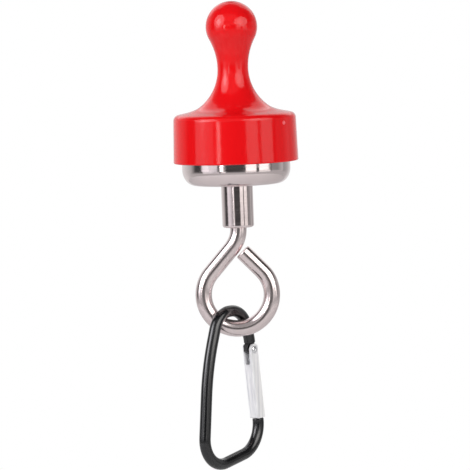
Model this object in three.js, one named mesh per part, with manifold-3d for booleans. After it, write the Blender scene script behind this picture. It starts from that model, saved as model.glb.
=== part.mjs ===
// Magnetic hook: a pot magnet with a screwed-in wire eye, a pull-off grip magnet seated on its face,
// and a small spring-gate carabiner hanging in the eye.
// Millimetres, +Z up. The origin is the centre of the pot magnet's face, and +Z points out of that face.
// The eye lies in the XZ plane. The carabiner hangs through it, turned about the vertical.
import * as THREE from 'three';
import { mergeVertices } from 'three/addons/utils/BufferGeometryUtils.js';
import Module from 'manifold-3d';

const wasm = await Module();
wasm.setup();

// Fits shared by every piece
const seatGap = 0.05;
const glueGap = 0.1;
const restGap = 0.3;
const cutOverrun = 1;

// Pot magnet: a deep-drawn steel cup, face up, with a ring magnet potted into it
const potDiameter = 32;
const potHeight = 8;
const potCornerRadius = 3.7;
const potWall = 2;
const potFloor = 2.4;
const potRimChamfer = 0.3;
const potMagnetRecess = 0.2;
const resinRecess = 0.35;
const resinThickness = 0.8;
const potMagnetBore = 8.8;

// Threaded bush riveted through the floor of the cup
const bushDiameter = 9.2;
const bushLength = 12.8;
const bushEdgeRadius = 0.7;
const spigotDiameter = 6.8;
const rivetFlangeDiameter = 8.2;
const rivetFlangeHeight = 1.1;
const rivetFlangeChamfer = 0.4;

// Eye hook: one bent wire, its shank screwed up into the bush
const eyeWireDiameter = 4.9;
const shankClearance = 0.15;
const shankTopDepth = 6;
const shankBendDrop = 24.5;
const shankBendRadius = 8.5;
const eyeBendRadius = 10.1;
const eyeOffset = -0.85;
const eyeDrop = 40.8;
const tipLength = 8;
const tipLeanDegrees = 43.6;

// Grip: a moulded pawn-shaped shell over its own cup magnet
const gripHeight = 47.4;
const gripSkirt = 1.4;
const gripRimDiameter = 36.9;
const gripShoulderDiameter = 36.2;
const gripShoulderHeight = 12.6;
const gripShoulderRise = 1;
const gripShoulderEdge = 1.2;
const gripBallDiameter = 15.2;
const gripNeckDiameter = 9.1;
const gripNeckHeight = 26.25;
const gripFlareFootDiameter = 23.6;
const gripWall = 2.1;
const gripCoreTop = 33.5;
const gripRimClearance = 0.4;
const gripRibCount = 6;
const gripRibThickness = 1.2;

// Grip magnet: a disc in a shallow steel cup, glued into the shell
const gripCupDiameter = 30;
const gripCupHeight = 6;
const gripCupWall = 1.6;
const gripCupEdge = 0.8;
const gripMagnetRecess = 0.2;

// Carabiner: bent rod frame and its sprung gate
const carabinerWidth = 28;
const carabinerLength = 47.9;
const carabinerRodDiameter = 3.4;
const carabinerTurnDegrees = 50;
const carabinerOffset = -2.2;
const carabinerForward = 0.55;
const archGap = 1.15;

// Corners of the frame's centreline, from the hinge side over the arch and down the spine to the foot:
// across as a share of the width, down as a share of the length, bend radius as a share of the width
const frameCornerShares = [
  [0.154, 0, 0.258],
  [-0.257, 0, 0.258],
  [-0.455, 0.33, 2.5],
  [-0.584, 0.99, 0.257],
];
const rivetAcrossShare = 0.2504;
const rivetDownShare = 0.2578;
const hingeBendLength = 1.2;
const hingeBendRadius = 4;
const armCornerDrop = 7.6;
const noseRunLength = 0.2;

// Gate, in a frame of its own: origin on the rivet, -Z towards the nose, +X outwards
const gateLeanDegrees = 6.4;
const gateDepth = 3.6;
const gateThickness = 3.4;
const gateLength = 22.6;
const gateEdgeRadius = 0.6;
const gateOuterWall = 0.9;
const hingeSlotDepth = 4.4;
const hingeForkDepth = 1.9;
const noseWebThickness = 1;
const springBoreDiameter = 1.5;
const springBoreDepth = 6.4;
const springBoreInset = 0.5;

// Flat ends of the frame that work inside the gate
const tongueThickness = 1.3;
const tongueEndRadius = 1.45;
const tongueHeel = 2.3;
const tongueHeelDrop = 0.2;
const noseNeckThickness = 1.1;
const noseNeckHeight = 1.4;
const noseHeadThickness = 1.9;
const noseHeadHeight = 1.1;

// Rivet, pusher and spring of the gate
const rivetDiameter = 1.3;
const rivetClearance = 0.1;
const rivetHeadDiameter = 2.2;
const rivetHeadHeight = 0.45;
const pusherDiameter = 1;
const pusherTipDrop = 2.1;
const pusherCollarDiameter = 1.2;
const pusherCollarDrop = 4.9;
const pusherCollarHeight = 0.8;
const pusherStemDiameter = 0.5;
const pusherStemLength = 0.9;
const springWireDiameter = 0.24;
const springMeanDiameter = 0.96;
const springTurns = 6;

// Facets
const roundSides = 48;
const smallSides = 24;
const wireSides = 16;
const eyeSteps = 52;
const frameSteps = 64;
const arcSteps = 10;
const springStepsPerTurn = 8;
const springSides = 5;

// Sizes worked out from the ones above
const potRadius = potDiameter / 2;
const potInnerRadius = potRadius - potWall;
const potFloorTop = potFloor - potHeight;
const potMagnetRadius = potInnerRadius - resinThickness - glueGap * 2;
const spigotRadius = spigotDiameter / 2;
const shankBoreRadius = eyeWireDiameter / 2 + shankClearance;
const bushBottom = -potHeight - bushLength;
const gripRimZ = -gripSkirt;
const gripTopZ = gripRimZ + gripHeight;
const gripBallRadius = gripBallDiameter / 2;
const gripBallZ = gripTopZ - gripBallRadius;
const gripNeckRadius = gripNeckDiameter / 2;
const gripFlareFootZ = gripShoulderHeight + gripShoulderRise;
const gripFlareReach = gripFlareFootDiameter / 2 - gripNeckRadius;
const gripFlareDrop = gripNeckHeight - gripFlareFootZ;
const gripFlareRadius = (gripFlareReach ** 2 + gripFlareDrop ** 2) / (2 * gripFlareReach);
const gripCupRadius = gripCupDiameter / 2;
const eyeBottomZ = -eyeDrop - eyeBendRadius;
const rodRadius = carabinerRodDiameter / 2;
const noseOffset = gateDepth / 2 - rodRadius;
const apexZ = eyeBottomZ + eyeWireDiameter / 2 + rodRadius + archGap;
const gateHalfDepth = gateDepth / 2;
const gateNoseZ = gateHalfDepth - gateLength;
const shoulderZ = gateHalfDepth + restGap;
const noseShoulderZ = gateNoseZ - restGap;
const rivetAcross = rivetAcrossShare * carabinerWidth;
const rivetZ = apexZ - rivetDownShare * carabinerLength;
const gateLeanAngle = THREE.MathUtils.degToRad(gateLeanDegrees);
const slotThickness = tongueThickness + restGap * 2;

// Materials
const redPlastic = new THREE.MeshStandardMaterial({ color: 0xe01418, roughness: 0.22, metalness: 0 });
const nickel = new THREE.MeshStandardMaterial({ color: 0xb9b3ae, roughness: 0.2, metalness: 1 });
const magnetNickel = new THREE.MeshStandardMaterial({ color: 0xa6a6a8, roughness: 0.3, metalness: 1 });
const resin = new THREE.MeshStandardMaterial({ color: 0x2b2b2d, roughness: 0.5, metalness: 0 });
const blackAnodised = new THREE.MeshStandardMaterial({ color: 0x17171a, roughness: 0.3, metalness: 0.4 });
const brightAluminium = new THREE.MeshStandardMaterial({ color: 0xd9dade, roughness: 0.35, metalness: 1 });
const springSteel = new THREE.MeshStandardMaterial({ color: 0x8d8f94, roughness: 0.3, metalness: 1 });

// Closed geometry with shared corners merged, so that only positions are left
function weld(geometry) {
  geometry.deleteAttribute('normal');
  geometry.deleteAttribute('uv');
  return mergeVertices(geometry);
}

function toSolid(geometry) {
  const merged = weld(geometry);
  const vertProperties = new Float32Array(merged.attributes.position.array);
  const triVerts = new Uint32Array(merged.index.array);
  return new wasm.Manifold(new wasm.Mesh({ numProp: 3, vertProperties, triVerts }));
}

function toGeometry(solid) {
  const mesh = solid.getMesh();
  const geometry = new THREE.BufferGeometry();
  geometry.setAttribute('position', new THREE.BufferAttribute(new Float32Array(mesh.vertProperties), 3));
  geometry.setIndex(new THREE.BufferAttribute(new Uint32Array(mesh.triVerts), 1));
  return geometry;
}

function piece(name, geometry, material) {
  const mesh = new THREE.Mesh(geometry, material);
  mesh.name = name;
  return mesh;
}

// Points of a circular arc in an outline, angles in degrees, both ends included
function arc(centreX, centreY, radius, fromDegrees, toDegrees, steps = arcSteps) {
  const points = [];
  for (let i = 0; i <= steps; i++) {
    const angle = THREE.MathUtils.degToRad(fromDegrees + ((toDegrees - fromDegrees) * i) / steps);
    points.push([centreX + radius * Math.cos(angle), centreY + radius * Math.sin(angle)]);
  }
  return points;
}

// Revolves an outline of [radius, height] points about Z
function revolve(outline, sides = roundSides) {
  const points = outline.map(([radius, height]) => new THREE.Vector2(radius, height));
  return new THREE.LatheGeometry(points, sides).rotateX(Math.PI / 2);
}

// Revolves an outline that doesn't reach the axis, closing it on itself
function revolveRing(outline, sides = roundSides) {
  return revolve([...outline, outline[0]], sides);
}

function shapeOf(outline) {
  return new THREE.Shape(outline.map(([x, y]) => new THREE.Vector2(x, y)));
}

// Flat outline of [x, z] points, pulled along Y to the given thickness and centred on Y = 0
function plate(outline, thickness) {
  const geometry = new THREE.ExtrudeGeometry(shapeOf(outline), { depth: thickness, bevelEnabled: false });
  return geometry.translate(0, 0, -thickness / 2).rotateX(Math.PI / 2);
}

// Outline of a rectangle between two corners
function rectangle(lowX, lowY, highX, highY) {
  return [
    [lowX, lowY],
    [highX, lowY],
    [highX, highY],
    [lowX, highY],
  ];
}

// Rectangle centred on the origin with rounded corners
function roundedRectangle(width, height, radius, steps) {
  const x = width / 2 - radius;
  const y = height / 2 - radius;
  return [
    ...arc(x, y, radius, 0, 90, steps),
    ...arc(-x, y, radius, 90, 180, steps),
    ...arc(-x, -y, radius, 180, 270, steps),
    ...arc(x, -y, radius, 270, 360, steps),
  ];
}

// A flat 2D path lifted into the XZ plane, as the route of a bent wire
class WireRoute extends THREE.Curve {
  constructor(path) {
    super();
    this.path = path;
  }

  getPoint(t, target = new THREE.Vector3()) {
    const point = this.path.getPoint(t);
    return target.set(point.x, 0, point.y);
  }
}

function bentWire(path, radius, steps) {
  const section = arc(0, 0, radius, 0, 360, wireSides).slice(1);
  const options = { steps, extrudePath: new WireRoute(path), bevelEnabled: false };
  return new THREE.ExtrudeGeometry(shapeOf(section), options);
}

// Half the angle between the two runs that meet at a corner
function halfAngleAt(before, corner, after) {
  const point = new THREE.Vector2(corner[0], corner[1]);
  const back = new THREE.Vector2(before[0], before[1]).sub(point).normalize();
  const ahead = new THREE.Vector2(after[0], after[1]).sub(point).normalize();
  return Math.acos(back.dot(ahead)) / 2;
}

// Radius of the arc that touches both runs at a given distance from their corner
function filletRadius(before, corner, after, setback) {
  return setback * Math.tan(halfAngleAt(before, corner, after));
}

// Straight runs joined by tangent arcs, through corners of [x, y, radius]; the ends have no radius
function filletedPath(corners) {
  const path = new THREE.Path();
  const last = corners.length - 1;
  path.moveTo(corners[0][0], corners[0][1]);
  for (let i = 1; i < last; i++) {
    const corner = new THREE.Vector2(corners[i][0], corners[i][1]);
    const back = new THREE.Vector2(corners[i - 1][0], corners[i - 1][1]).sub(corner).normalize();
    const ahead = new THREE.Vector2(corners[i + 1][0], corners[i + 1][1]).sub(corner).normalize();
    const halfAngle = halfAngleAt(corners[i - 1], corners[i], corners[i + 1]);
    const radius = corners[i][2];
    const setback = radius / Math.tan(halfAngle);
    const start = corner.clone().addScaledVector(back, setback);
    const end = corner.clone().addScaledVector(ahead, setback);
    const towardsCentre = back.clone().add(ahead).normalize();
    const centre = corner.clone().addScaledVector(towardsCentre, radius / Math.sin(halfAngle));
    const startAngle = start.clone().sub(centre).angle();
    const endAngle = end.clone().sub(centre).angle();
    const clockwise = back.cross(ahead) > 0;
    path.absarc(centre.x, centre.y, radius, startAngle, endAngle, clockwise);
  }
  path.lineTo(corners[last][0], corners[last][1]);
  return path;
}

// Pot magnet
function potCup() {
  const cornerX = potRadius - potCornerRadius;
  const cornerZ = potCornerRadius - potHeight;
  return revolveRing([
    [spigotRadius + seatGap, potFloorTop],
    [spigotRadius + seatGap, -potHeight],
    ...arc(cornerX, cornerZ, potCornerRadius, -90, 0),
    [potRadius, -potRimChamfer],
    [potRadius - potRimChamfer, 0],
    [potInnerRadius, 0],
    [potInnerRadius, potFloorTop],
  ]);
}

function potMagnet() {
  const bore = potMagnetBore / 2;
  return revolveRing(rectangle(bore, potFloorTop + seatGap, potMagnetRadius, -potMagnetRecess));
}

function potResinRing() {
  const inner = potMagnetRadius + glueGap;
  const outer = potInnerRadius - glueGap;
  return revolveRing(rectangle(inner, potFloorTop + seatGap, outer, -resinRecess));
}

function threadedBush() {
  const radius = bushDiameter / 2;
  const flange = rivetFlangeDiameter / 2;
  const seat = -potHeight - seatGap;
  const flangeSeat = potFloorTop + seatGap;
  const flangeTop = flangeSeat + rivetFlangeHeight;
  return revolveRing([
    [shankBoreRadius, bushBottom],
    ...arc(radius - bushEdgeRadius, bushBottom + bushEdgeRadius, bushEdgeRadius, -90, 0, 4),
    [radius, seat],
    [spigotRadius, seat],
    [spigotRadius, flangeSeat],
    [flange, flangeSeat],
    [flange, flangeTop - rivetFlangeChamfer],
    [flange - rivetFlangeChamfer, flangeTop],
    [shankBoreRadius, flangeTop],
  ]);
}

// Eye hook: down the shank, out to the left, round the eye and back up to an open square-cut tip
function eyeHook() {
  const corner = new THREE.Vector2(0, -shankBendDrop);
  const centre = new THREE.Vector2(eyeOffset, -eyeDrop);
  const toCentre = centre.clone().sub(corner);
  const tangentLength = Math.sqrt(toCentre.lengthSq() - eyeBendRadius ** 2);
  const swing = Math.asin(eyeBendRadius / toCentre.length());
  const leaving = toCentre.clone().normalize().rotateAround(new THREE.Vector2(), -swing);
  const touch = corner.clone().addScaledVector(leaving, tangentLength);
  const bendAngle = Math.PI * 1.5 - leaving.angle();
  const bendStart = corner.y + shankBendRadius * Math.tan(bendAngle / 2);
  const lean = THREE.MathUtils.degToRad(tipLeanDegrees);
  const path = new THREE.Path();
  path.moveTo(0, -shankTopDepth);
  path.lineTo(0, bendStart);
  path.absarc(-shankBendRadius, bendStart, shankBendRadius, 0, -bendAngle, true);
  const startAngle = touch.clone().sub(centre).angle();
  path.absarc(centre.x, centre.y, eyeBendRadius, startAngle, lean, false);
  const end = new THREE.Vector2(Math.cos(lean), Math.sin(lean)).multiplyScalar(eyeBendRadius).add(centre);
  path.lineTo(end.x - Math.sin(lean) * tipLength, end.y + Math.cos(lean) * tipLength);
  return bentWire(path, eyeWireDiameter / 2, eyeSteps);
}

// Grip shell: outer pawn shape, inner pocket and the ribs that back the magnet
function gripOuterOutline() {
  const rimRadius = gripRimDiameter / 2;
  const shoulderRadius = gripShoulderDiameter / 2;
  const edge = gripShoulderEdge;
  const flareX = gripNeckRadius + gripFlareRadius;
  const flareEnd = THREE.MathUtils.radToDeg(Math.atan2(gripFlareDrop, gripFlareRadius - gripFlareReach));
  const riseSquared = (gripBallZ - gripNeckHeight) ** 2;
  const spread = gripNeckRadius ** 2 + riseSquared - gripBallRadius ** 2;
  const upperRadius = spread / (2 * (gripBallRadius - gripNeckRadius));
  const upperX = gripNeckRadius + upperRadius;
  const ballStart = THREE.MathUtils.radToDeg(Math.atan2(gripNeckHeight - gripBallZ, upperX));
  return [
    [0, gripRimZ],
    [rimRadius, gripRimZ],
    ...arc(shoulderRadius - edge, gripShoulderHeight - edge, edge, 0, 90, 5),
    ...arc(flareX, gripNeckHeight, gripFlareRadius, 180 + flareEnd, 180),
    ...arc(upperX, gripNeckHeight, upperRadius, 180, 180 + ballStart, 5).slice(1),
    ...arc(0, gripBallZ, gripBallRadius, ballStart, 90).slice(1, -1),
    [0, gripTopZ],
  ];
}

function gripPocketOutline() {
  const rimBore = potRadius + gripRimClearance;
  const cupBore = gripCupRadius + glueGap;
  const ceiling = gripShoulderHeight - gripWall;
  const coreRadius = gripNeckRadius - gripWall;
  const reach = cupBore - coreRadius;
  const drop = gripNeckHeight - ceiling;
  const innerFlare = (reach ** 2 + drop ** 2) / (2 * reach);
  const flareEnd = THREE.MathUtils.radToDeg(Math.atan2(drop, innerFlare - reach));
  return [
    [0, gripRimZ - cutOverrun],
    [rimBore, gripRimZ - cutOverrun],
    [rimBore, restGap],
    [cupBore, restGap],
    ...arc(coreRadius + innerFlare, gripNeckHeight, innerFlare, 180 + flareEnd, 180, 6),
    ...arc(0, gripCoreTop - coreRadius, coreRadius, 0, 90, 4).slice(0, -1),
    [0, gripCoreTop],
  ];
}

function gripShell() {
  const outer = toSolid(revolve(gripOuterOutline()));
  const pocket = toSolid(revolve(gripPocketOutline()));
  const seat = gripCupHeight + seatGap;
  const reach = gripCupRadius + glueGap + gripWall / 2;
  let shell = outer.subtract(pocket);
  for (let i = 0; i < gripRibCount / 2; i++) {
    const rib = plate(rectangle(-reach, seat, reach, gripNeckHeight), gripRibThickness);
    rib.rotateZ((Math.PI * 2 * i) / gripRibCount);
    shell = shell.add(toSolid(rib).intersect(outer));
  }
  return toGeometry(shell);
}

function gripMagnetCup() {
  const inner = gripCupRadius - gripCupWall;
  const roof = gripCupHeight - gripCupWall;
  return revolve([
    [0, roof],
    [inner, roof],
    [inner, 0],
    [gripCupRadius, 0],
    ...arc(gripCupRadius - gripCupEdge, gripCupHeight - gripCupEdge, gripCupEdge, 0, 90, 3),
    [0, gripCupHeight],
  ]);
}

function gripMagnet() {
  const radius = gripCupRadius - gripCupWall - glueGap;
  const top = gripCupHeight - gripCupWall - seatGap;
  return revolve([
    [0, gripMagnetRecess],
    [radius, gripMagnetRecess],
    [radius, top],
    [0, top],
  ]);
}

// Carabiner frame, drawn in its own plane: X across, Z up, with the gate's line on the +X side
function onGateLine(outward, along) {
  return [
    rivetAcross + outward * Math.cos(gateLeanAngle) - along * Math.sin(gateLeanAngle),
    rivetZ + outward * Math.sin(gateLeanAngle) + along * Math.cos(gateLeanAngle),
  ];
}

function intoGateFrame(geometry) {
  return geometry.rotateY(-gateLeanAngle).translate(rivetAcross, 0, rivetZ);
}

function frameRod() {
  const bends = frameCornerShares.map(([across, down, radius]) => [
    across * carabinerWidth,
    apexZ - down * carabinerLength,
    radius * carabinerWidth,
  ]);
  const nose = onGateLine(noseOffset, noseShoulderZ);
  const armCorner = onGateLine(noseOffset, noseShoulderZ - armCornerDrop);
  const armRadius = filletRadius(bends.at(-1), armCorner, nose, armCornerDrop - noseRunLength);
  const corners = [
    onGateLine(0, shoulderZ),
    [...onGateLine(0, shoulderZ + hingeBendLength), hingeBendRadius],
    ...bends,
    [...armCorner, armRadius],
    nose,
  ];
  return bentWire(filletedPath(corners), rodRadius, frameSteps);
}

// Flat tongue that the gate turns on, with the heel that the pusher bears on
function hingeTongue() {
  const root = shoulderZ + cutOverrun;
  return intoGateFrame(plate([
    [-tongueEndRadius, root],
    [-tongueEndRadius, shoulderZ],
    [-tongueHeel, shoulderZ - restGap * 2],
    [-tongueHeel, -tongueHeelDrop],
    ...arc(0, 0, tongueEndRadius, 230, 360, 6),
    [tongueEndRadius, root],
  ], tongueThickness));
}

// Flat nose with a wider head, caught in the T-shaped slot of the gate
function noseNeck() {
  const inner = noseWebThickness + restGap - gateHalfDepth;
  const root = noseShoulderZ - cutOverrun;
  const top = gateNoseZ + noseNeckHeight + noseHeadHeight;
  return intoGateFrame(plate(rectangle(inner, root, gateHalfDepth - restGap / 2, top), noseNeckThickness));
}

function noseHead() {
  const inner = noseWebThickness + restGap - gateHalfDepth;
  const base = gateNoseZ + noseNeckHeight;
  const outline = rectangle(inner, base, gateHalfDepth - restGap / 2, base + noseHeadHeight);
  return intoGateFrame(plate(outline, noseHeadThickness));
}

function rivetHole(radius) {
  const length = gateThickness + cutOverrun * 2;
  return new THREE.CylinderGeometry(radius, radius, length, smallSides);
}

function carabinerFrame() {
  const hole = toSolid(intoGateFrame(rivetHole(rivetDiameter / 2 + rivetClearance)));
  const frame = toSolid(frameRod())
    .add(toSolid(hingeTongue()))
    .add(toSolid(noseNeck()))
    .add(toSolid(noseHead()))
    .subtract(hole);
  return toGeometry(frame);
}

// Gate: a rounded bar, forked at the hinge and slotted at the nose
function gateBar() {
  const section = roundedRectangle(gateDepth, gateThickness, gateEdgeRadius, 3);
  const bar = new THREE.ExtrudeGeometry(shapeOf(section), { depth: gateLength, bevelEnabled: false });
  bar.translate(0, 0, gateNoseZ);
  const side = plate([
    ...arc(0, 0, gateHalfDepth, 0, 180, 12),
    [-gateHalfDepth, gateNoseZ + gateEdgeRadius],
    [gateEdgeRadius - gateHalfDepth, gateNoseZ],
    [gateHalfDepth - gateEdgeRadius, gateNoseZ],
    [gateHalfDepth, gateNoseZ + gateEdgeRadius],
  ], gateThickness + cutOverrun);
  return toSolid(bar).intersect(toSolid(side));
}

function hingeSlot() {
  const outside = gateHalfDepth + cutOverrun;
  const webInside = gateHalfDepth - gateOuterWall;
  return plate([
    [-outside, -hingeSlotDepth],
    [webInside - gateOuterWall, -hingeSlotDepth],
    [webInside, gateOuterWall - hingeSlotDepth],
    [webInside, -hingeForkDepth],
    [outside, -hingeForkDepth],
    [outside, outside],
    [-outside, outside],
  ], slotThickness);
}

function noseSlot(thickness, low, high) {
  const inner = noseWebThickness - gateHalfDepth;
  return plate(rectangle(inner, low, gateHalfDepth + cutOverrun, high), thickness);
}

function springBore() {
  const radius = springBoreDiameter / 2;
  const length = springBoreDepth + cutOverrun;
  const bore = new THREE.CylinderGeometry(radius, radius, length, smallSides).rotateX(Math.PI / 2);
  return bore.translate(-springBoreInset, 0, cutOverrun - hingeSlotDepth - length / 2);
}

function carabinerGate() {
  const headBase = gateNoseZ + noseNeckHeight;
  const headTop = headBase + noseHeadHeight;
  const gate = gateBar()
    .subtract(toSolid(hingeSlot()))
    .subtract(toSolid(noseSlot(noseNeckThickness + restGap * 2, gateNoseZ - cutOverrun, headTop + restGap)))
    .subtract(toSolid(noseSlot(noseHeadThickness + restGap * 2, headBase - restGap, headTop + restGap)))
    .subtract(toSolid(springBore()))
    .subtract(toSolid(rivetHole(rivetDiameter / 2 + rivetClearance)));
  return toGeometry(gate);
}

function gateRivet() {
  const shaft = rivetDiameter / 2;
  const head = rivetHeadDiameter / 2;
  const seat = gateThickness / 2 + seatGap;
  const dome = arc(0, 0, 1, 0, 90, 4).map(([x, y]) => [x * head, y * rivetHeadHeight]);
  const top = dome.slice(0, -1).map(([radius, rise]) => [radius, seat + rise]);
  const bottom = top.map(([radius, height]) => [radius, -height]).reverse();
  const end = seat + rivetHeadHeight;
  const outline = [[0, -end], ...bottom, [shaft, -seat], [shaft, seat], ...top, [0, end]];
  return revolve(outline, smallSides).rotateX(Math.PI / 2);
}

function springPusher() {
  const tip = pusherDiameter / 2;
  const collar = pusherCollarDiameter / 2;
  const stem = pusherStemDiameter / 2;
  const collarBase = -pusherCollarDrop - pusherCollarHeight;
  const pusher = revolve([
    [0, collarBase - pusherStemLength],
    [stem, collarBase - pusherStemLength],
    [stem, collarBase],
    [collar, collarBase],
    [collar, -pusherCollarDrop],
    [tip, -pusherCollarDrop],
    ...arc(0, -pusherTipDrop - tip, tip, 0, 90, 3).slice(0, -1),
    [0, -pusherTipDrop],
  ], wireSides);
  return pusher.translate(-springBoreInset, 0, 0);
}

// Compression spring: one open helix, swept ring by ring and capped at both ends
function gateSpring() {
  const mean = springMeanDiameter / 2;
  const wire = springWireDiameter / 2;
  const top = -pusherCollarDrop - pusherCollarHeight - seatGap - wire;
  const bottom = -hingeSlotDepth - springBoreDepth + seatGap + wire;
  const rings = springTurns * springStepsPerTurn;
  const pitch = (top - bottom) / springTurns;
  const climb = Math.atan2(pitch, Math.PI * springMeanDiameter);
  const positions = [];
  for (let i = 0; i <= rings; i++) {
    const turn = (i / springStepsPerTurn) * Math.PI * 2;
    const outward = new THREE.Vector3(Math.cos(turn), Math.sin(turn), 0);
    const upward = new THREE.Vector3(Math.sin(turn), -Math.cos(turn), 0).multiplyScalar(Math.sin(climb));
    upward.z = Math.cos(climb);
    const centre = outward.clone().multiplyScalar(mean).setZ(bottom + ((top - bottom) * i) / rings);
    for (let k = 0; k < springSides; k++) {
      const angle = (k / springSides) * Math.PI * 2;
      const point = centre.clone().addScaledVector(outward, wire * Math.cos(angle));
      point.addScaledVector(upward, wire * Math.sin(angle));
      positions.push(point.x - springBoreInset, point.y, point.z);
    }
  }
  const leastGap = pitch * Math.cos(climb) - springWireDiameter;
  console.log(`gate spring: least gap between turns ${leastGap.toFixed(2)} mm`);
  return tubeGeometry(positions, rings, springSides);
}

// Joins rings of points into one closed tube with flat ends
function tubeGeometry(positions, rings, sides) {
  const index = [];
  for (let i = 0; i < rings; i++) {
    for (let k = 0; k < sides; k++) {
      const next = (k + 1) % sides;
      const a = i * sides + k;
      const b = i * sides + next;
      index.push(a, b + sides, b, a, a + sides, b + sides);
    }
  }
  const lastRing = rings * sides;
  for (let k = 1; k < sides - 1; k++) {
    index.push(0, k, k + 1, lastRing, lastRing + k + 1, lastRing + k);
  }
  const geometry = new THREE.BufferGeometry();
  geometry.setAttribute('position', new THREE.Float32BufferAttribute(positions, 3));
  geometry.setIndex(index);
  return geometry;
}

// Assembly
const pot = new THREE.Group();
pot.add(
  piece('pot_cup', potCup(), nickel),
  piece('pot_magnet', potMagnet(), magnetNickel),
  piece('pot_resin_ring', potResinRing(), resin),
  piece('threaded_bush', threadedBush(), nickel),
);

const grip = new THREE.Group();
grip.add(
  piece('grip_shell', gripShell(), redPlastic),
  piece('grip_magnet_cup', gripMagnetCup(), nickel),
  piece('grip_magnet', gripMagnet(), magnetNickel),
);

const gate = new THREE.Group();
gate.position.set(rivetAcross, 0, rivetZ);
gate.rotation.y = -gateLeanAngle;
gate.add(
  piece('carabiner_gate', carabinerGate(), brightAluminium),
  piece('gate_rivet', gateRivet(), brightAluminium),
  piece('spring_pusher', springPusher(), springSteel),
  piece('gate_spring', gateSpring(), springSteel),
);

const carabiner = new THREE.Group();
carabiner.position.set(carabinerOffset, carabinerForward, 0);
carabiner.rotation.z = THREE.MathUtils.degToRad(carabinerTurnDegrees);
carabiner.add(piece('carabiner_frame', carabinerFrame(), blackAnodised), gate);

const magneticHook = new THREE.Group();
magneticHook.add(pot, grip, piece('eye_hook', eyeHook(), nickel), carabiner);

export default magneticHook;
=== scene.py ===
import math

import bmesh
import bpy
import numpy as np
from mathutils import Matrix, Vector


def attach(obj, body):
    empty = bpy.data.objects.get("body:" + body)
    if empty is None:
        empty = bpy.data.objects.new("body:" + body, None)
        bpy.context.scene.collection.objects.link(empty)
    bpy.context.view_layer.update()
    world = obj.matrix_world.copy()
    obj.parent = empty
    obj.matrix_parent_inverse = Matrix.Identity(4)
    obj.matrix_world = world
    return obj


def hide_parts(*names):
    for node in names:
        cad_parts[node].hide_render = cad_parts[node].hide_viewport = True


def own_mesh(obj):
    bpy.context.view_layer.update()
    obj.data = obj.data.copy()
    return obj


# A magnetic hook: a red pawn-shaped grip magnet over a nickel pot magnet, a wire eye screwed into the
# pot's bush, and a black carabiner with a sprung bright gate hanging in the eye.
# Shapes are worked out in millimetres, as numpy grids, and go into their meshes in metres. Round parts are
# given by their radii, and heights count from the pot's pole face, but for the gate's own frame.

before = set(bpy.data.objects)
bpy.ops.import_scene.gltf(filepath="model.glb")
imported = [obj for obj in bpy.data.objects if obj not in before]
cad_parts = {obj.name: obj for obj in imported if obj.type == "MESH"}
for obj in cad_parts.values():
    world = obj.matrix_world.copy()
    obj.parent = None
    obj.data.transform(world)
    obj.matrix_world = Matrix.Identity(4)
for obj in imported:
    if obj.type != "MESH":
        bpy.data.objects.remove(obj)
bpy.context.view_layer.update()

MM = 0.001

# Shared by all pieces: the gap of parts that touch, the overrun of a cutting tool, the length of each
# run that an arc is made of, and the radii of small edges
SEAT_GAP = 0.05
OVERRUN = 1
ARC_RUN = 0.4
BROKEN_EDGE = 0.05
FINE_EDGE = 0.1
SMALL_EDGE = 0.15
PLAIN_EDGE = 0.2
SOFT_EDGE = 0.3

# Pot magnet and bush
POT_RADIUS = 16
POT_HEIGHT = 8
POT_CORNER = 3.7
POT_CORNER_RISE = 4.6
POT_INNER = 14
POT_FLOOR = -5.6
POT_FILLET = 0.5
BUSH_RADIUS = 4.68
BUSH_END = -20.8
BUSH_EDGE = 0.7
BUSH_SHOULDER_EDGE = 0.12
BUSH_BORE = 2.6
BUSH_MOUTH = 0.25
SPIGOT_RADIUS = 3.4
FLANGE_RADIUS = 4.1
FLANGE_TOP = -4.45
FLANGE_EDGE = 0.45
MAGNET_RADIUS = 13
MAGNET_BORE = 4.4
MAGNET_FACE = -0.2
RESIN_INNER = 13.1
RESIN_OUTER = 13.9
RESIN_FACE = -0.35
RESIN_EDGE = 0.03
RESIN_DIP = 0.15
RESIN_HOLLOW = 0.8

# Eye hook
EYE_WIRE = 2.45
SHANK_TOP = -6
SHANK_BEND_DROP = 24.5
SHANK_BEND = 8.5
EYE_BEND = 10.1
EYE_CENTRE = (-0.85, -40.8)
TIP_LENGTH = 8
TIP_LEAN = 43.6
TIP_EDGE = 0.35

# Grip
GRIP_TOP = 46
GRIP_RIM = -1.4
GRIP_RIM_RADIUS = 18.45
GRIP_RIM_EDGE = 0.35
GRIP_SHOULDER = 18.1
GRIP_SHOULDER_Z = 12.95
GRIP_SHOULDER_EDGE = 1.8
GRIP_FOOT = (11.7, 14)
FOOT_EASE = 8
SHOULDER_EASE = 2.6
GRIP_NECK = 4.55
GRIP_NECK_Z = 26.25
GRIP_BALL = 7.6
GRIP_WALL = 2.1
GRIP_CORE_TOP = 33.5
GRIP_POCKET = 16.4
GRIP_SEAT = 15.1
GRIP_RIBS = 6
GRIP_RIB = 1.2
PIP_RADIUS = 0.6
PIP_RISE = 0.3
PIP_SUNK = 20
PIP_HEIGHT = 10.1
PIP_TURN = 51.9
CUP_RADIUS = 15
CUP_HEIGHT = 6
CUP_WALL = 1.6
CUP_EDGE = 0.25
CUP_CORNER = 0.8
DISC_RADIUS = 13.3

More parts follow.
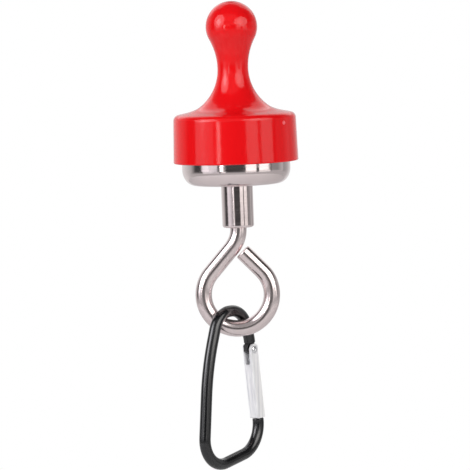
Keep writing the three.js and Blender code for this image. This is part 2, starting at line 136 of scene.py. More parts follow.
# Carabiner, drawn in its own plane: across, and up. The plane is turned about Z and shifted, and the gate
# leans in it. A bend is the corner of its two runs, with its radius.
ROD = 1.7
ROD_EDGE = 0.22
RIVET = (7.011, -57.949)
LEAN = 6.4
TURN = 50
OFFSET = (-2.2, 0.55)
ARCH_Z = -45.6
ARCH_BEND = 7.224
ARCH_BENDS = [(4.312, ARCH_Z, ARCH_BEND), (-7.196, ARCH_Z, ARCH_BEND)]
SPINE_BEND = (-12.9, -61.407, 70)
FOOT_BEND = (-16.352, -92.25, 7.8)
HINGE_RUN = 1.2
HINGE_BEND = 4
ARM_DROP = 8.5
NOSE_RUN = 0.2

# Gate: origin on the rivet, up towards the hinge's end, x outwards
GATE_HALF = 1.8
GATE_SIDE = 1.7
GATE_LENGTH = 22.6
GATE_EDGE = 0.6
GATE_BREAK = 0.12
REST_GAP = 0.3
GATE_NOSE = GATE_HALF - GATE_LENGTH
SHOULDER = GATE_HALF + REST_GAP
NOSE_SHOULDER = GATE_NOSE - REST_GAP
FLAT_ROOT = 1
TONGUE = 0.65
TONGUE_END = 1.45
TONGUE_START = 230
TONGUE_HEEL = 2.3
HEEL_END = -0.2
NECK_SIDE = 0.55
NECK_HEIGHT = 1.4
HEAD_SIDE = 0.95
HEAD_HEIGHT = 1.1
WEB = 1
SLOT_DEPTH = 4.4
FORK_DEPTH = 1.9
OUTER_WALL = 0.9
BORE = 0.75
BORE_DEPTH = 6.4
BORE_INSET = 0.5
RIVET_RADIUS = 0.65
RIVET_HOLE = RIVET_RADIUS + 0.1
RIVET_HEAD = 1.1
RIVET_RISE = 0.45
RIVET_DOME = 75
RIVET_DIMPLE = 0.2
RIVET_DIMPLE_SHARES = [(1, 0.86), (0.6, 0.72), (0, 0.68)]
RIVET_SEAT = 1.32
RIVET_SINK = 0.22

# Pusher and spring, on the bore's line
PUSHER_TIP = -2.1
PUSHER = 0.5
COLLAR = 0.6
COLLAR_TOP = -4.9
COLLAR_HEIGHT = 0.8
STEM = 0.25
STEM_LENGTH = 0.9
STEM_EDGE = 0.08
SPRING_WIRE = 0.12
SPRING_MEAN = 0.48
SPRING_TURNS = 6

# Studio, in metres and degrees: a softbox is its name, the azimuths and elevations that it fills as seen
# from the lamps' centre, its radiance, its colour and its shape
COOL = (0.97, 0.96, 1)
WARM = (1, 0.98, 0.96)
WHITE = (1, 1, 1)
SOFTBOXES = [
    ("left_box", (-84, -38), (3, 52), 3, COOL, "ELLIPSE"),
    ("left_core", (-71, -51), (12, 36), 4.6, COOL, "ELLIPSE"),
    ("left_low_far", (-79, -61), (-2, 9), 1.3, COOL, "RECTANGLE"),
    ("left_low_near", (-61, -41), (-2, 9), 0.9, COOL, "RECTANGLE"),
    ("left_foot_far", (-76, -52), (-9, -2), 0.75, COOL, "RECTANGLE"),
    ("left_foot_near", (-52, -37), (-9, -2), 0.5, COOL, "RECTANGLE"),
    ("left_strip", (-34.5, -28), (-2, 14), 4.5, WHITE, "RECTANGLE"),
    ("left_strip_foot", (-32, -23), (-9, -2), 0.75, WHITE, "RECTANGLE"),
    ("left_middle", (-27, -7), (5, 16), 0.3, WHITE, "RECTANGLE"),
    ("right_box", (16, 76), (5, 44), 2.7, WARM, "ELLIPSE"),
    ("right_core", (28, 54), (12, 38), 1.4, WARM, "ELLIPSE"),
    ("right_low_near", (20, 43), (-2, 8), 1.6, WARM, "RECTANGLE"),
    ("right_low_far", (49, 73), (-2, 8), 1.6, WARM, "RECTANGLE"),
    ("right_foot_near", (19, 43), (-9, -2), 0.8, WARM, "RECTANGLE"),
    ("right_foot_far", (49, 77), (-9, -2), 0.8, WARM, "RECTANGLE"),
    ("right_side", (80, 118), (-9, 16), 0.24, WHITE, "RECTANGLE"),
    ("overhead", (-44, 20), (10, 62), 0.3, WHITE, "RECTANGLE"),
    ("left_back", (-170, -138), (20, 60), 0.8, COOL, "RECTANGLE"),
    ("right_back", (138, 170), (20, 60), 0.8, WARM, "RECTANGLE"),
]
LAMP_DISTANCE = 1
LAMP_CENTRE = Vector((0, 0, -0.03))
FLOOR_HEIGHT = -0.16
FLOOR_RADIUS = 0.4
FLOOR_WHITE = 0.6
FLOOR_GLOW = 0.42
FLOOR_EVEN = 0.3 * FLOOR_RADIUS
FLOOR_MIRRORED = 0.12
CAMERA_TARGET = Vector((-0.00107, 0, -0.02311))
CAMERA_DISTANCE = 1
CAMERA_ELEVATION = 4.4
CAMERA_ROLL = 2
CAMERA_SENSOR = 36
VIEW_HEIGHT = 0.13905


# Outlines

def arc(x, y, radius, start, end, steps=16):
    """Points at (x + radius cos a, y + radius sin a), with a running from start to end in degrees."""
    angle = np.radians(np.linspace(start, end, steps + 1))
    return np.column_stack([x + radius * np.cos(angle), y + radius * np.sin(angle)])


def unit(vector):
    """The vector divided by its length."""
    return vector / np.linalg.norm(vector)


def rounded(corners, closed=True, steps=8):
    """A polygon whose corners (x, y, radius) are arcs tangent to both runs.

    With h half the angle between the runs, the arc starts radius / tan h from the corner, and its centre
    lies radius / sin h along the line that halves the angle."""
    points = []
    for i, corner in enumerate(corners):
        here = np.array(corner[:2], float)
        radius = corner[2] if len(corner) > 2 else 0
        if not radius:
            points.append(here[None])
            continue
        back = unit(np.array(corners[i - 1][:2]) - here)
        ahead = unit(np.array(corners[(i + 1) % len(corners)][:2]) - here)
        half = math.acos(np.clip(back @ ahead, -1, 1)) / 2
        start = here + back * radius / math.tan(half)
        centre = here + unit(back + ahead) * radius / math.sin(half)
        first = start - centre
        side = np.sign(back[0] * ahead[1] - back[1] * ahead[0])
        sweep = -side * (math.pi - 2 * half)
        count = max(steps, int(abs(sweep) * radius / ARC_RUN))
        angle = np.linspace(0, sweep, count + 1)[:, None]
        normal = np.array([-first[1], first[0]])
        points.append(centre + first * np.cos(angle) + normal * np.sin(angle))
    return np.concatenate(points)


def refined(points, closed, longest=1.2, edge=0.1):
    """Adds points to the straight runs of an outline: one at the length edge from each end, so that the
    shading of a flat run stays flat, and even ones between, no further apart than longest."""
    after = np.roll(points, -1, axis=0) if closed else points[1:]
    before = points if closed else points[:-1]
    out = []
    for a, b in zip(before, after):
        length = np.linalg.norm(b - a)
        share = [0.0]
        if length > 4 * edge:
            even = np.linspace(edge / length, 1 - edge / length, 2 + int(length / longest))
            share += list(even)
        out.append(a + (b - a) * np.array(share)[:, None])
    if not closed:
        out.append(points[-1:])
    return np.concatenate(out)


def resampled(path, step):
    """Points every step along a line of points, with the unit direction at each."""
    run = np.concatenate([[0], np.cumsum(np.linalg.norm(np.diff(path, axis=0), axis=1))])
    even = np.linspace(0, run[-1], 1 + max(2, int(run[-1] / step)))
    points = np.column_stack([np.interp(even, run, path[:, i]) for i in range(path.shape[1])])
    way = np.gradient(points, axis=0)
    return points, way / np.linalg.norm(way, axis=1, keepdims=True)


# Meshes

def new_object(name, points, faces):
    """A mesh object of the given points and faces, in the scene."""
    mesh = bpy.data.meshes.new(name)
    mesh.from_pydata(np.reshape(points, (-1, 3)).tolist(), [], faces)
    mesh.update()
    piece = bpy.data.objects.new(name, mesh)
    bpy.context.scene.collection.objects.link(piece)
    return piece


def cleaned(piece, weld=1e-4, sliver=1e-5):
    """Merges points closer than weld, at poles and seams, drops faces thinner than sliver, and turns the
    faces outwards."""
    work = bmesh.new()
    work.from_mesh(piece.data)
    bmesh.ops.remove_doubles(work, verts=work.verts, dist=weld)
    bmesh.ops.dissolve_degenerate(work, edges=work.edges, dist=sliver)
    bmesh.ops.recalc_face_normals(work, faces=work.faces)
    work.to_mesh(piece.data)
    work.free()
    return piece


def grid(name, points, closed_rows=False):
    """A surface over a grid of points (rows, columns, 3), with one face to each cell. The columns run
    round to their start, and so do closed rows."""
    rows, columns = points.shape[:2]
    row = np.arange(rows if closed_rows else rows - 1)
    a, b = np.meshgrid(row, np.arange(columns), indexing="ij")
    c, d = (a + 1) % rows, (b + 1) % columns
    faces = np.stack([a * columns + b, a * columns + d, c * columns + d, c * columns + b], axis=-1)
    return cleaned(new_object(name, points, faces.reshape(-1, 4).tolist()))


def lathe(name, outline, closed=True, sides=160):
    """A surface of revolution: outline point (radius, height) turned by t goes to
    (radius cos t, radius sin t, height). An outline that isn't closed starts and ends on the axis."""
    outline = refined(outline, closed)
    turn = np.linspace(0, 2 * np.pi, sides, endpoint=False)
    radius, height = outline[:, :1], outline[:, 1:]
    points = np.stack([radius * np.cos(turn), radius * np.sin(turn), height + 0 * turn], axis=-1)
    return grid(name, points, closed_rows=closed)


def tube(name, path, radius, edge, step=ARC_RUN, sides=40, edge_rings=6):
    """A round rod along a path in the XZ plane: at direction t the ring is
    path + radius (cos a n + sin a y), n being t turned a quarter in the plane.
    Each end is cut square, with its edge rounded over the length edge."""
    points, along = resampled(np.asarray(path), step)
    keep = slice(1, -1)
    bevel = np.linspace(0, np.pi / 2, edge_rings)[:, None]
    shift = edge * np.sin(bevel) - edge
    rim = radius - edge + edge * np.cos(bevel)
    start = points[0] - along[0] * shift[::-1]
    end = points[-1] + along[-1] * shift
    centre = np.concatenate([points[:1], start, points[keep], end, points[-1:]])
    first = along[:1].repeat(edge_rings + 1, 0)
    last = along[-1:].repeat(edge_rings + 1, 0)
    tangent = np.concatenate([first, along[keep], last])
    size = np.concatenate([[[0]], rim[::-1], np.full((len(points) - 2, 1), radius), rim, [[0]]])
    angle = np.linspace(0, 2 * np.pi, sides, endpoint=False)
    across = size * np.cos(angle)
    rings = np.stack([
        centre[:, :1] - tangent[:, 1:] * across,
        size * np.sin(angle),
        centre[:, 1:] + tangent[:, :1] * across,
    ], axis=-1)
    return grid(name, rings)


def prism(name, outline, half):
    """A flat outline of (x, z) points, carried along y from -half to half and closed at both ends."""
    count = len(outline)
    layers = [np.column_stack([outline[:, 0], np.full(count, y), outline[:, 1]]) for y in (-half, half)]
    index = np.arange(count)
    after = (index + 1) % count
    walls = np.column_stack([index, after, after + count, index + count]).tolist()
    caps = [index[::-1].tolist(), (index + count).tolist()]
    return cleaned(new_object(name, np.concatenate(layers), walls + caps))


def box_outline(low_x, low_z, high_x, high_z):
    """A rectangle from its low corner to its high one."""
    return np.array([(low_x, low_z), (high_x, low_z), (high_x, high_z), (low_x, high_z)], float)


def combined(piece, tool, operation):
    """Joins a tool to a piece, cuts it away or keeps what both share, and removes the tool."""
    modifier = piece.modifiers.new(operation, "BOOLEAN")
    modifier.operation = operation
    modifier.solver = "EXACT"
    modifier.object = tool
    shape = piece.evaluated_get(bpy.context.evaluated_depsgraph_get())
    piece.data = bpy.data.meshes.new_from_object(shape)
    piece.modifiers.clear()
    bpy.data.objects.remove(tool)
    return piece


def moved(piece, place):
    """Sends each point of a mesh through a function that takes and gives arrays of points."""
    points = np.empty(len(piece.data.vertices) * 3, np.float32)
    piece.data.vertices.foreach_get("co", points)
    placed = place(points.reshape(-1, 3).astype(float))
    piece.data.vertices.foreach_set("co", placed.astype(np.float32).ravel())
    piece.data.update()
    return piece


def finished(piece, body, nodes, material, place=None, crease=32):
    """Puts a piece in place in metres, shades it smooth but for its sharp edges, and says what it is."""
    if place:
        moved(piece, place)
    moved(piece, lambda points: points * MM)
    piece.data.shade_smooth()
    piece.data.set_sharp_from_angle(angle=math.radians(crease))
    piece.data.materials.clear()
    piece.data.materials.append(material)
    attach(piece, body)
    if nodes:
        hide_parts(*nodes)
    return piece


def bevelled(piece, width, segments=3, sharpest=40):
    """Rounds the edges of a piece that turn by more than sharpest degrees."""
    modifier = piece.modifiers.new("edges", "BEVEL")
    modifier.width = width
    modifier.segments = segments
    modifier.limit_method = "ANGLE"
    modifier.angle_limit = math.radians(sharpest)
    modifier.use_clamp_overlap = True
    shape = piece.evaluated_get(bpy.context.evaluated_depsgraph_get())
    piece.data = bpy.data.meshes.new_from_object(shape)
    piece.modifiers.clear()
    return piece


# Places

def on_carabiner(points):
    """From the carabiner's own plane to the frame: turned about Z, then shifted."""
    turn = math.radians(TURN)
    x, y, z = points.T
    return np.column_stack([
        x * math.cos(turn) - y * math.sin(turn) + OFFSET[0],
        x * math.sin(turn) + y * math.cos(turn) + OFFSET[1],
        z,
    ])


def leaned(points):
    """From the gate's frame to the carabiner's plane: leaned about Y, then moved to the rivet."""
    lean = math.radians(LEAN)
    x, y, z = points.T
    return np.column_stack([
        x * math.cos(lean) - z * math.sin(lean) + RIVET[0],
        y,
        x * math.sin(lean) + z * math.cos(lean) + RIVET[1],
    ])


def on_gate(points):
    """From the gate's frame to the part's frame."""
    return on_carabiner(leaned(points))


def gate_line(outward, along):
    """A point of the gate's frame, in the carabiner's plane."""
    x, _, z = leaned(np.array([[outward, 0.0, along]]))[0]
    return x, z


def about_y(points):
    """Turns a lathed piece's axis from Z to Y."""
    x, y, z = points.T
    return np.column_stack([x, -z, y])


def stood_up(across, up):
    """A place that swaps a prism's length from Y to Z, then shifts it across and up."""
    return lambda points: points[:, (0, 2, 1)] + (across, 0, up)


def turned_round(angle):
    """A place that turns points about Z: (x cos t - y sin t, x sin t + y cos t, z)."""
    turn = np.array([
        [math.cos(angle), -math.sin(angle), 0],
        [math.sin(angle), math.cos(angle), 0],
        [0, 0, 1],
    ])
    return lambda points: points @ turn.T


# Materials

def new_material(name, colour, roughness, metallic, **sockets):
    """A principled material with its constants on the shader's own sockets."""
    material = bpy.data.materials.new(name)
    material.use_nodes = True
    shader = material.node_tree.nodes["Principled BSDF"]
    shader.inputs["Base Color"].default_value = (*colour, 1)
    shader.inputs["Roughness"].default_value = roughness
    shader.inputs["Metallic"].default_value = metallic
    for socket, value in sockets.items():
        shader.inputs[socket.replace("_", " ")].default_value = value
    return material


def add_noise(material, stretch, detail=3, roughness=0.5, turn=(0, 0, 0)):
    """Noise in the object's coordinates, with stretch cells to the metre along each axis, or along all."""
    if np.isscalar(stretch):
        stretch = (stretch, stretch, stretch)
    tree = material.node_tree
    coordinates = tree.nodes.new("ShaderNodeTexCoord")
    mapping = tree.nodes.new("ShaderNodeMapping")
    mapping.inputs["Scale"].default_value = stretch
    mapping.inputs["Rotation"].default_value = turn
    noise = tree.nodes.new("ShaderNodeTexNoise")
    noise.inputs["Scale"].default_value = 1
    noise.inputs["Detail"].default_value = detail
    noise.inputs["Roughness"].default_value = roughness
    tree.links.new(coordinates.outputs["Object"], mapping.inputs["Vector"])
    tree.links.new(mapping.outputs["Vector"], noise.inputs["Vector"])
    return noise.outputs["Fac"]


def ranged(material, value, low, high, low_in=0.3, high_in=0.7):
    """Spreads a noise value, which mostly lies from low_in to high_in, over the range from low to high."""
    tree = material.node_tree
    node = tree.nodes.new("ShaderNodeMapRange")
    node.inputs["From Min"].default_value = low_in
    node.inputs["From Max"].default_value = high_in
    node.inputs["To Min"].default_value = low
    node.inputs["To Max"].default_value = high
    tree.links.new(value, node.inputs["Value"])
    return node.outputs["Result"]


def varied_roughness(material, value, low, high):
    """Runs the roughness from low to high by a noise value."""
    shader = material.node_tree.nodes["Principled BSDF"]
    material.node_tree.links.new(ranged(material, value, low, high), shader.inputs["Roughness"])


def varied_colour(material, value, first, second):
    """Mixes two colours by a noise value."""
    tree = material.node_tree
    mix = tree.nodes.new("ShaderNodeMix")
    mix.data_type = "RGBA"
    mix.inputs["A"].default_value = (*first, 1)
    mix.inputs["B"].default_value = (*second, 1)
    tree.links.new(ranged(material, value, 0, 1), mix.inputs["Factor"])
    tree.links.new(mix.outputs["Result"], tree.nodes["Principled BSDF"].inputs["Base Color"])


def relief(material, value, depth, under=None):
    """A bump of the given depth in metres. Another bump may lie under it."""
    tree = material.node_tree
    bump = tree.nodes.new("ShaderNodeBump")
    bump.inputs["Distance"].default_value = depth
    tree.links.new(value, bump.inputs["Height"])
    if under is not None:
        tree.links.new(under, bump.inputs["Normal"])
    tree.links.new(bump.outputs["Normal"], tree.nodes["Principled BSDF"].inputs["Normal"])
    return bump.outputs["Normal"]


def red_moulding():
    """Glossy moulded plastic: a faint flow of tone, a soft unevenness and a fine orange peel."""
    material = new_material("red_moulding", (0.78, 0.008, 0.012), 0.2, 0, Specular_IOR_Level=0.36)
    flow = add_noise(material, (60, 60, 25), 2)
    varied_colour(material, flow, (0.79, 0.005, 0.0075), (0.73, 0.0045, 0.007))
    varied_roughness(material, add_noise(material, 900, 4), 0.09, 0.16)
    wave = relief(material, add_noise(material, 140, 1), 0.00006)
    relief(material, add_noise(material, 1500, 2), 0.000002, under=wave)
    return material


def pip_painted_highlight():
    """A pale pinkish red for the moulding pip: a painted highlight that stands for the bright glint on it.
    """
    material = new_material("pip_painted_highlight", (0.95, 0.14, 0.16), 0.3, 0, Specular_IOR_Level=0.4)
    varied_roughness(material, add_noise(material, 4000, 2), 0.25, 0.4)
    return material


def nickel_plating(name, stretch, brightest=0.06, dullest=0.16):
    """Bright nickel over polished steel: fine polishing lines and small changes of gloss and tone."""
    material = new_material(name, (0.78, 0.68, 0.68), 0.1, 1)
    varied_colour(material, add_noise(material, 120), (0.81, 0.71, 0.705), (0.75, 0.65, 0.65))
    varied_roughness(material, add_noise(material, stretch, 4, 0.6), brightest, dullest)
    wave = relief(material, add_noise(material, 220, 1), 0.00003)
    relief(material, add_noise(material, stretch, 3, 0.7), 0.0000012, under=wave)
    return material


def magnet_plating():
    """Plated sintered magnet: greyer and duller than the steel, with a fine grain."""
    material = new_material("magnet_plating", (0.55, 0.55, 0.56), 0.28, 1)
    varied_colour(material, add_noise(material, 300, 4), (0.58, 0.58, 0.59), (0.48, 0.48, 0.5))
    grain = add_noise(material, 2500, 4)
    varied_roughness(material, grain, 0.2, 0.36)
    relief(material, grain, 0.000006)
    return material


def cast_resin():
    """Black potting resin, cast: patchy in tone and gloss, and a little uneven."""
    material = new_material("cast_resin", (0.015, 0.015, 0.017), 0.4, 0)
    varied_colour(material, add_noise(material, 600), (0.014, 0.014, 0.016), (0.03, 0.03, 0.032))
    varied_roughness(material, add_noise(material, 900), 0.3, 0.5)
    relief(material, add_noise(material, 700, 2), 0.00002)
    return material


def black_anodising():
    """Black anodised rod: semi-gloss, with fine drawing lines along it and faint rub marks."""
    material = new_material("black_anodising", (0.004, 0.004, 0.005), 0.18, 0, IOR=1.62)
    rub = add_noise(material, (260, 260, 90), 2)
    varied_colour(material, rub, (0.003, 0.003, 0.004), (0.008, 0.008, 0.009))
    varied_roughness(material, rub, 0.15, 0.2)
    relief(material, add_noise(material, (2500, 2500, 250), 2), 0.000001)
    return material


def satin_aluminium():
    """Satin bar: lines drawn lengthwise, in the gloss and in the surface, and a slightly uneven tone."""
    material = new_material("satin_aluminium", (0.9, 0.9, 0.91), 0.4, 0.15, Anisotropic=0.6)
    turn = (0, math.radians(-LEAN), math.radians(TURN))
    lines = add_noise(material, (5200, 5200, 90), 4, 0.65, turn)
    streaks = add_noise(material, (1600, 1600, 12), 2, 0.5, turn)
    varied_colour(material, streaks, (1, 1, 1), (0.74, 0.74, 0.77))
    varied_roughness(material, lines, 0.32, 0.48)
    relief(material, lines, 0.000012)
    return material


def rivet_steel():
    """Headed rivet: brighter and harder in its reflections than the satin bar round it."""
    material = new_material("rivet_steel", (0.75, 0.75, 0.77), 0.22, 1)
    varied_roughness(material, add_noise(material, 2200), 0.16, 0.3)
    return material


def spring_wire():
    """Drawn spring steel: bright, with tone and gloss that change along the drawing."""
    material = new_material("spring_wire", (0.56, 0.57, 0.59), 0.3, 1)
    drawn = add_noise(material, (3000, 3000, 900))
    varied_colour(material, drawn, (0.6, 0.61, 0.63), (0.48, 0.49, 0.51))
    varied_roughness(material, drawn, 0.2, 0.36)
    return material


# Pot magnet and bush

def cup_outline():
    """The drawn cup's section: its floor's bore, an elliptical corner, the wall, and the inside."""
    bore = SPIGOT_RADIUS + SEAT_GAP
    corner = arc(0, 0, 1, -90, 0, steps=24) * (POT_CORNER, POT_CORNER_RISE)
    corner += (POT_RADIUS - POT_CORNER, POT_CORNER_RISE - POT_HEIGHT)
    below = rounded([
        (bore, POT_FLOOR, FINE_EDGE),
        (bore, -POT_HEIGHT, SMALL_EDGE),
        tuple(corner[0]),
    ], closed=False)
    inside = rounded([
        tuple(corner[-1]),
        (POT_RADIUS, 0, SOFT_EDGE),
        (POT_INNER, 0, PLAIN_EDGE),
        (POT_INNER, POT_FLOOR, POT_FILLET),
        (bore, POT_FLOOR),
    ], closed=False)
    return np.concatenate([below[:-1], corner, inside[1:-1]])


def ring_outline():
    """The ring magnet's section."""
    return rounded([
        (MAGNET_BORE, POT_FLOOR + SEAT_GAP, SMALL_EDGE),
        (MAGNET_RADIUS, POT_FLOOR + SEAT_GAP, SMALL_EDGE),
        (MAGNET_RADIUS, MAGNET_FACE, SOFT_EDGE),
        (MAGNET_BORE, MAGNET_FACE, SOFT_EDGE),
    ])


def resin_outline():
    """The resin's section: its face has sunk a little in the middle as it set."""
    middle = (RESIN_INNER + RESIN_OUTER) / 2
    return rounded([
        (RESIN_INNER, POT_FLOOR + SEAT_GAP, BROKEN_EDGE),
        (RESIN_OUTER, POT_FLOOR + SEAT_GAP, BROKEN_EDGE),
        (RESIN_OUTER, RESIN_FACE, RESIN_EDGE),
        (middle, RESIN_FACE - RESIN_DIP, RESIN_HOLLOW),
        (RESIN_INNER, RESIN_FACE, RESIN_EDGE),
    ])


def bush_outline():
    """The bush's section: the turned body, the spigot through the cup's floor, and the riveted flange."""
    seat = -POT_HEIGHT - SEAT_GAP
    under_flange = POT_FLOOR + SEAT_GAP
    return rounded([
        (BUSH_BORE, BUSH_END, BUSH_MOUTH),
        (BUSH_RADIUS, BUSH_END, BUSH_EDGE),
        (BUSH_RADIUS, seat, BUSH_SHOULDER_EDGE),
        (SPIGOT_RADIUS, seat, BROKEN_EDGE),
        (SPIGOT_RADIUS, under_flange, BROKEN_EDGE),
        (FLANGE_RADIUS, under_flange, FINE_EDGE),
        (FLANGE_RADIUS, FLANGE_TOP, FLANGE_EDGE),
        (BUSH_BORE, FLANGE_TOP, FINE_EDGE),
    ])


def make_pot(turned, magnet, resin):
    """The cup with what is potted into it, and the bush."""
    finished(lathe("drawn_cup", cup_outline(), sides=240), "pot", ["pot_cup"], turned)
    finished(lathe("ring_magnet", ring_outline()), "pot", ["pot_magnet"], magnet)
    finished(lathe("resin_fill", resin_outline()), "pot", ["pot_resin_ring"], resin)
    finished(lathe("turned_bush", bush_outline()), "pot", ["threaded_bush"], turned)


# Eye hook

def eye_path():
    """Down the shank, round a bend, along a tangent to the eye, round it and up the tip."""
    corner = np.array([0.0, -SHANK_BEND_DROP])
    centre = np.array(EYE_CENTRE)
    to_centre = centre - corner
    distance = np.linalg.norm(to_centre)
    swing = math.asin(EYE_BEND / distance)
    turn = np.array([[math.cos(swing), math.sin(swing)], [-math.sin(swing), math.cos(swing)]])
    leaving = turn @ to_centre / distance
    touch = corner + leaving * math.sqrt(distance**2 - EYE_BEND**2)
    from_centre = touch - centre
    start = math.degrees(math.atan2(from_centre[1], from_centre[0]))
    eye = arc(*centre, EYE_BEND, start, 360 + TIP_LEAN, steps=200)
    lean = math.radians(TIP_LEAN)
    tip = eye[-1] + TIP_LENGTH * np.array([-math.sin(lean), math.cos(lean)])
    shank = rounded([(0, SHANK_TOP), (*corner, SHANK_BEND), tuple(touch)], closed=False, steps=24)
    return np.concatenate([shank[:-1], eye, tip[None]])


def make_eye(material):
    """The bent wire, one round rod from the shank's end to the tip."""
    wire = tube("bent_eye", eye_path(), EYE_WIRE, TIP_EDGE, step=0.35, sides=56)
    finished(wire, "eye", ["eye_hook"], material)


# Grip

def smooth_join(first, first_way, last, last_way, steps=10):
    """A quadratic curve from first to last that leaves and arrives along the two given ways."""
    matrix = np.column_stack([first_way, -np.asarray(last_way)])
    meeting = first + np.asarray(first_way) * np.linalg.solve(matrix, last - first)[0]
    t = np.linspace(0, 1, steps + 1)[:, None]
    return (1 - t) ** 2 * first + 2 * t * (1 - t) * meeting + t**2 * last


def grip_outer():
    """The pawn from its top: the ball, a waist of two arcs that meet at the neck, a flare that eases into
    the shoulder, and the tapered wall down to the rim."""
    ball_z = GRIP_TOP - GRIP_BALL
    rise = ball_z - GRIP_NECK_Z
    upper = (GRIP_NECK**2 + rise**2 - GRIP_BALL**2) / (2 * (GRIP_BALL - GRIP_NECK))
    join = math.degrees(math.atan2(-rise, GRIP_NECK + upper))
    reach = GRIP_FOOT[0] - GRIP_NECK
    drop = GRIP_NECK_Z - GRIP_FOOT[1]
    flare = (reach**2 + drop**2) / (2 * reach)
    foot = 180 + math.degrees(math.atan2(drop, flare - reach))
    lower = arc(GRIP_NECK + flare, GRIP_NECK_Z, flare, 180, foot - FOOT_EASE, steps=40)
    edge_x = GRIP_SHOULDER - GRIP_SHOULDER_EDGE
    shoulder_way = unit(np.array([edge_x, GRIP_SHOULDER_Z]) - GRIP_FOOT)
    landing = np.array(GRIP_FOOT) + shoulder_way * SHOULDER_EASE
    leaving = lower[-1] - lower[-2]
    slope = math.degrees(math.atan2(-shoulder_way[1], shoulder_way[0]))
    edge = arc(edge_x, GRIP_SHOULDER_Z - GRIP_SHOULDER_EDGE, GRIP_SHOULDER_EDGE, 90 - slope, 0)
    return np.concatenate([
        arc(0, ball_z, GRIP_BALL, 90, join, steps=60),
        arc(GRIP_NECK + upper, GRIP_NECK_Z, upper, 180 + join, 180, steps=30)[1:],
        lower[1:],
        smooth_join(lower[-1], unit(leaving), landing, -shoulder_way)[1:],
        edge,
    ])


def pocket_flare(inset=0):
    """The arc from the magnet's seat up to the hollow neck, sunk into the wall by the inset."""
    core = GRIP_NECK - GRIP_WALL
    reach = GRIP_SEAT - core
    drop = GRIP_NECK_Z - GRIP_SHOULDER_Z + GRIP_WALL
    flare = (reach**2 + drop**2) / (2 * reach)
    foot = 180 + math.degrees(math.atan2(drop, flare - reach))
    return arc(core + flare, GRIP_NECK_Z, flare - inset, foot, 180, steps=24)


def grip_inner():
    """The pocket from the rim up: the skirt over the pot, the magnet's seat, and the hollow neck."""
    core = GRIP_NECK - GRIP_WALL
    return np.concatenate([
        [(GRIP_POCKET, REST_GAP), (GRIP_SEAT, REST_GAP)],
        pocket_flare(),
        arc(0, GRIP_CORE_TOP - core, core, 0, 90, steps=10),
    ])


def on_wall(points):
    """Lays a lathed dome on the grip's wall, its axis pointing out at the pip's angle round the grip."""
    x, y, z = points.T
    share = (PIP_HEIGHT - GRIP_RIM) / (GRIP_SHOULDER_Z - GRIP_RIM)
    outward = GRIP_RIM_RADIUS + (GRIP_SHOULDER - GRIP_RIM_RADIUS) * share + z
    turn = math.radians(PIP_TURN)
    return np.column_stack([
        outward * math.sin(turn) + x * math.cos(turn),
        x * math.sin(turn) - outward * math.cos(turn),
        PIP_HEIGHT + y,
    ])


def make_shell(red, pale):
    """The moulded shell, and on its wall the mark where the moulding gate was broken off, coloured pale as
    a painted highlight.
    """
    rim = rounded([
        (GRIP_SHOULDER, GRIP_SHOULDER_Z - GRIP_SHOULDER_EDGE),
        (GRIP_RIM_RADIUS, GRIP_RIM, GRIP_RIM_EDGE),
        (GRIP_POCKET, GRIP_RIM, PLAIN_EDGE),
        (GRIP_POCKET, REST_GAP),
    ], closed=False)[1:-1]
    shell = lathe("pawn_shell", np.concatenate([grip_outer(), rim, grip_inner()]), closed=False, sides=256)
    finished(shell, "grip", ["grip_shell"], red)
    dome = arc(0, 0, 1, 90, -PIP_SUNK, steps=10) * (PIP_RADIUS, PIP_RISE)
    pip = lathe("moulding_pip", dome, closed=False, sides=24)
    # The pip's pale material is a painted highlight, standing for the glint on it.
    finished(pip, "grip", [], pale, on_wall)


def make_ribs(red):
    """Upright plates from the axis to the pocket's wall, joined as one, that back the magnet's cup."""
    base = CUP_HEIGHT + SEAT_GAP
    sunk = GRIP_WALL / 3
    half_plate = np.concatenate([
        [(0, base), (GRIP_SEAT + sunk, base)],
        pocket_flare(sunk),
        [(0, GRIP_NECK_Z)],
    ])
    ribs = None
    for i in range(GRIP_RIBS):
        rib = prism("backing_ribs", half_plate, GRIP_RIB / 2)
        moved(rib, turned_round(2 * math.pi * i / GRIP_RIBS))
        ribs = combined(ribs, rib, "UNION") if ribs else rib
    ribs.name = "backing_ribs"
    finished(ribs, "grip", [], red)


def make_grip_magnet(plated, magnet):
    """The shallow cup in the shell, and the disc in the cup."""
    roof = CUP_HEIGHT - CUP_WALL
    cup = rounded([
        (0, roof),
        (CUP_RADIUS - CUP_WALL, roof, SOFT_EDGE),
        (CUP_RADIUS - CUP_WALL, 0, PLAIN_EDGE),
        (CUP_RADIUS, 0, CUP_EDGE),
        (CUP_RADIUS, CUP_HEIGHT, CUP_CORNER),
        (0, CUP_HEIGHT),
    ], closed=False)
    finished(lathe("grip_cup", cup, closed=False), "grip", ["grip_magnet_cup"], plated)
    disc = rounded([
        (0, -MAGNET_FACE),
        (DISC_RADIUS, -MAGNET_FACE, SOFT_EDGE),
        (DISC_RADIUS, roof - SEAT_GAP, PLAIN_EDGE),
        (0, roof - SEAT_GAP),
    ], closed=False)
    finished(lathe("grip_disc", disc, closed=False), "grip", ["grip_magnet"], magnet)


# Carabiner

def frame_path():
    """Up from the hinge shoulder on the gate's line, over the arch, down the spine, round the foot and up
    the arm to the nose shoulder. The arm's bend ends just below the nose."""
    nose_offset = GATE_HALF - ROD
    nose = np.array(gate_line(nose_offset, NOSE_SHOULDER))
    arm = np.array(gate_line(nose_offset, NOSE_SHOULDER - ARM_DROP))
    foot = np.array(FOOT_BEND[:2])
    half = math.acos(unit(foot - arm) @ unit(nose - arm)) / 2
    bend = (ARM_DROP - NOSE_RUN) * math.tan(half)
    return rounded([
        gate_line(0, SHOULDER),
        (*gate_line(0, SHOULDER + HINGE_RUN), HINGE_BEND),
        *ARCH_BENDS,
        SPINE_BEND,
        FOOT_BEND,
        (*arm, bend),
        tuple(nose),
    ], closed=False, steps=24)


